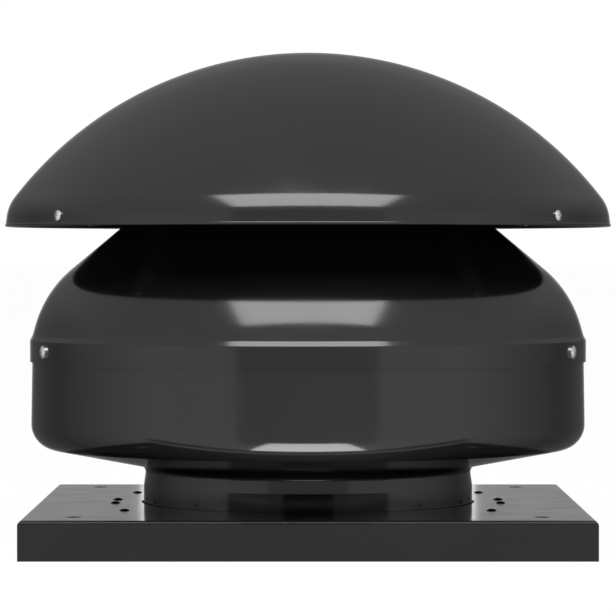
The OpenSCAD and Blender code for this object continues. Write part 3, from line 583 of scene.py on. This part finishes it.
def card(name, corners, level):
    """Sheet of one brightness that only reflections see."""
    mesh = bpy.data.meshes.new(name)
    mesh.from_pydata(corners, [], [(0, 1, 2, 3)])
    obj = bpy.data.objects.new(name, mesh)
    bpy.context.scene.collection.objects.link(obj)
    material = bpy.data.materials.new(name)
    material.use_nodes = True
    tree = material.node_tree
    tree.nodes.clear()
    glow = tree.nodes.new("ShaderNodeEmission")
    glow.inputs["Color"].default_value = WHITE
    glow.inputs["Strength"].default_value = level
    out = tree.nodes.new("ShaderNodeOutputMaterial")
    tree.links.new(glow.outputs["Emission"], out.inputs["Surface"])
    mesh.materials.append(material)
    for kind in ("camera", "diffuse", "transmission", "volume_scatter", "shadow"):
        setattr(obj, "visible_" + kind, False)
    return obj


# Studio, in metres
AIM = (0.0, 0.0, 0.15)
KEY_DISTANCE = 2.2
KEY_ELEVATION = math.radians(52.5)
KEY_WIDTH = 2.1
KEY_HEIGHT = 1.42
KEY_LEVEL = 7.0
key_place = (0.0, -KEY_DISTANCE * math.cos(KEY_ELEVATION),
             AIM[2] + KEY_DISTANCE * math.sin(KEY_ELEVATION))
area_light("key_softbox", key_place, AIM, KEY_WIDTH, KEY_HEIGHT, KEY_LEVEL)

# A strip on the floor for the lower bend, and a lamp behind for the plate's top
BEND_STRIP_PLACE = (0.0, -0.205, 0.003)
BEND_STRIP_TARGET = (0.0, -0.205, 1.0)
BEND_STRIP_SIZE = (0.094, 0.07)
BEND_STRIP_LEVEL = 9.0
area_light("bend_strip", BEND_STRIP_PLACE, BEND_STRIP_TARGET, *BEND_STRIP_SIZE, BEND_STRIP_LEVEL,
           [painted[2]])
PLATE_STRIP_PLACE = (0.0, 1.2, 0.20)
PLATE_STRIP_TARGET = (0.0, 0.0, 0.02)
PLATE_STRIP_SIZE = (0.30, 0.36)
PLATE_STRIP_LEVEL = 0.8
area_light("plate_strip", PLATE_STRIP_PLACE, PLATE_STRIP_TARGET, *PLATE_STRIP_SIZE,
           PLATE_STRIP_LEVEL, [frame["nodes"]["base_plate"]])

# A grey card far in front, whose reflection darkens the middle of the casing and the plate's skirt
CARD_Y = -2.7
CARD_LOW = -2.5
CARD_LEVEL = 0.6
CARD_HALF = -CARD_Y * math.tan(math.radians(28))
card("grey_card", [(-CARD_HALF, CARD_Y, CARD_LOW), (CARD_HALF, CARD_Y, CARD_LOW),
                   (CARD_HALF, CARD_Y, CARD_HALF), (-CARD_HALF, CARD_Y, CARD_HALF)], CARD_LEVEL)

NECK_CARD_LOW = 0.0215
NECK_CARD_HIGH = 0.038


def neck_shade_card(name, y, half, level):
    """Low glowing card just in front of the plate, which only the neck's reflections reach: painted shade
    in the neck's reflection.
    """
    card(name, [(-half, y, NECK_CARD_LOW), (half, y, NECK_CARD_LOW),
                (half, y, NECK_CARD_HIGH), (-half, y, NECK_CARD_HIGH)], level)


# Painted shade: dim glowing cards that darken the neck's reflection, darkest in its middle
neck_shade_card("neck_shade_card", -0.1556, 0.16, 0.25)
neck_shade_card("neck_card_middle", -0.1553, 0.034, 0.02)


FLOOR_HALF = 60.0
FLOOR_COLOUR = (0.9, 0.9, 0.9, 1)
FLOOR_GLOW_SHARE = 0.97


def studio_floor():
    """White to the camera, apart from the object's faint shadow, and matt white to other rays."""
    size = FLOOR_HALF
    mesh = bpy.data.meshes.new("studio_floor")
    mesh.from_pydata([(-size, -size, 0), (size, -size, 0), (size, size, 0), (-size, size, 0)], [],
                     [(0, 1, 2, 3)])
    obj = bpy.data.objects.new("studio_floor", mesh)
    bpy.context.scene.collection.objects.link(obj)
    material = bpy.data.materials.new("white_floor")
    material.use_nodes = True
    tree = material.node_tree
    tree.nodes.clear()
    matt = tree.nodes.new("ShaderNodeBsdfDiffuse")
    matt.inputs["Color"].default_value = FLOOR_COLOUR
    glow = tree.nodes.new("ShaderNodeEmission")
    glow.inputs["Color"].default_value = WHITE
    glow.inputs["Strength"].default_value = 1.0
    share = tree.nodes.new("ShaderNodeMath")
    share.operation = "MULTIPLY"
    share.inputs[1].default_value = FLOOR_GLOW_SHARE
    rays = tree.nodes.new("ShaderNodeLightPath")
    mix = tree.nodes.new("ShaderNodeMixShader")
    out = tree.nodes.new("ShaderNodeOutputMaterial")
    tree.links.new(rays.outputs["Is Camera Ray"], share.inputs[0])
    tree.links.new(share.outputs["Value"], mix.inputs[0])
    tree.links.new(matt.outputs["BSDF"], mix.inputs[1])
    tree.links.new(glow.outputs["Emission"], mix.inputs[2])
    tree.links.new(mix.outputs["Shader"], out.inputs["Surface"])
    mesh.materials.append(material)
    obj.visible_glossy = False


studio_floor()


# Camera, level with the upper shell's cone and pitched slightly down
LENS_MM = 210.0
SENSOR_MM = 36.0
FAR_CLIP = 200.0
CAMERA_PLACE = (0.0, -2.0, 0.1576)
CAMERA_PITCH = math.radians(90 - 0.83)


def photo_camera():
    data = bpy.data.cameras.new("photo_camera")
    data.sensor_width = SENSOR_MM
    data.lens = LENS_MM
    data.clip_end = FAR_CLIP
    obj = bpy.data.objects.new("photo_camera", data)
    obj.location = CAMERA_PLACE
    obj.rotation_euler = (CAMERA_PITCH, 0.0, 0.0)
    bpy.context.scene.collection.objects.link(obj)
    bpy.context.scene.camera = obj


photo_camera()
bpy.context.scene.view_settings.view_transform = "Standard"
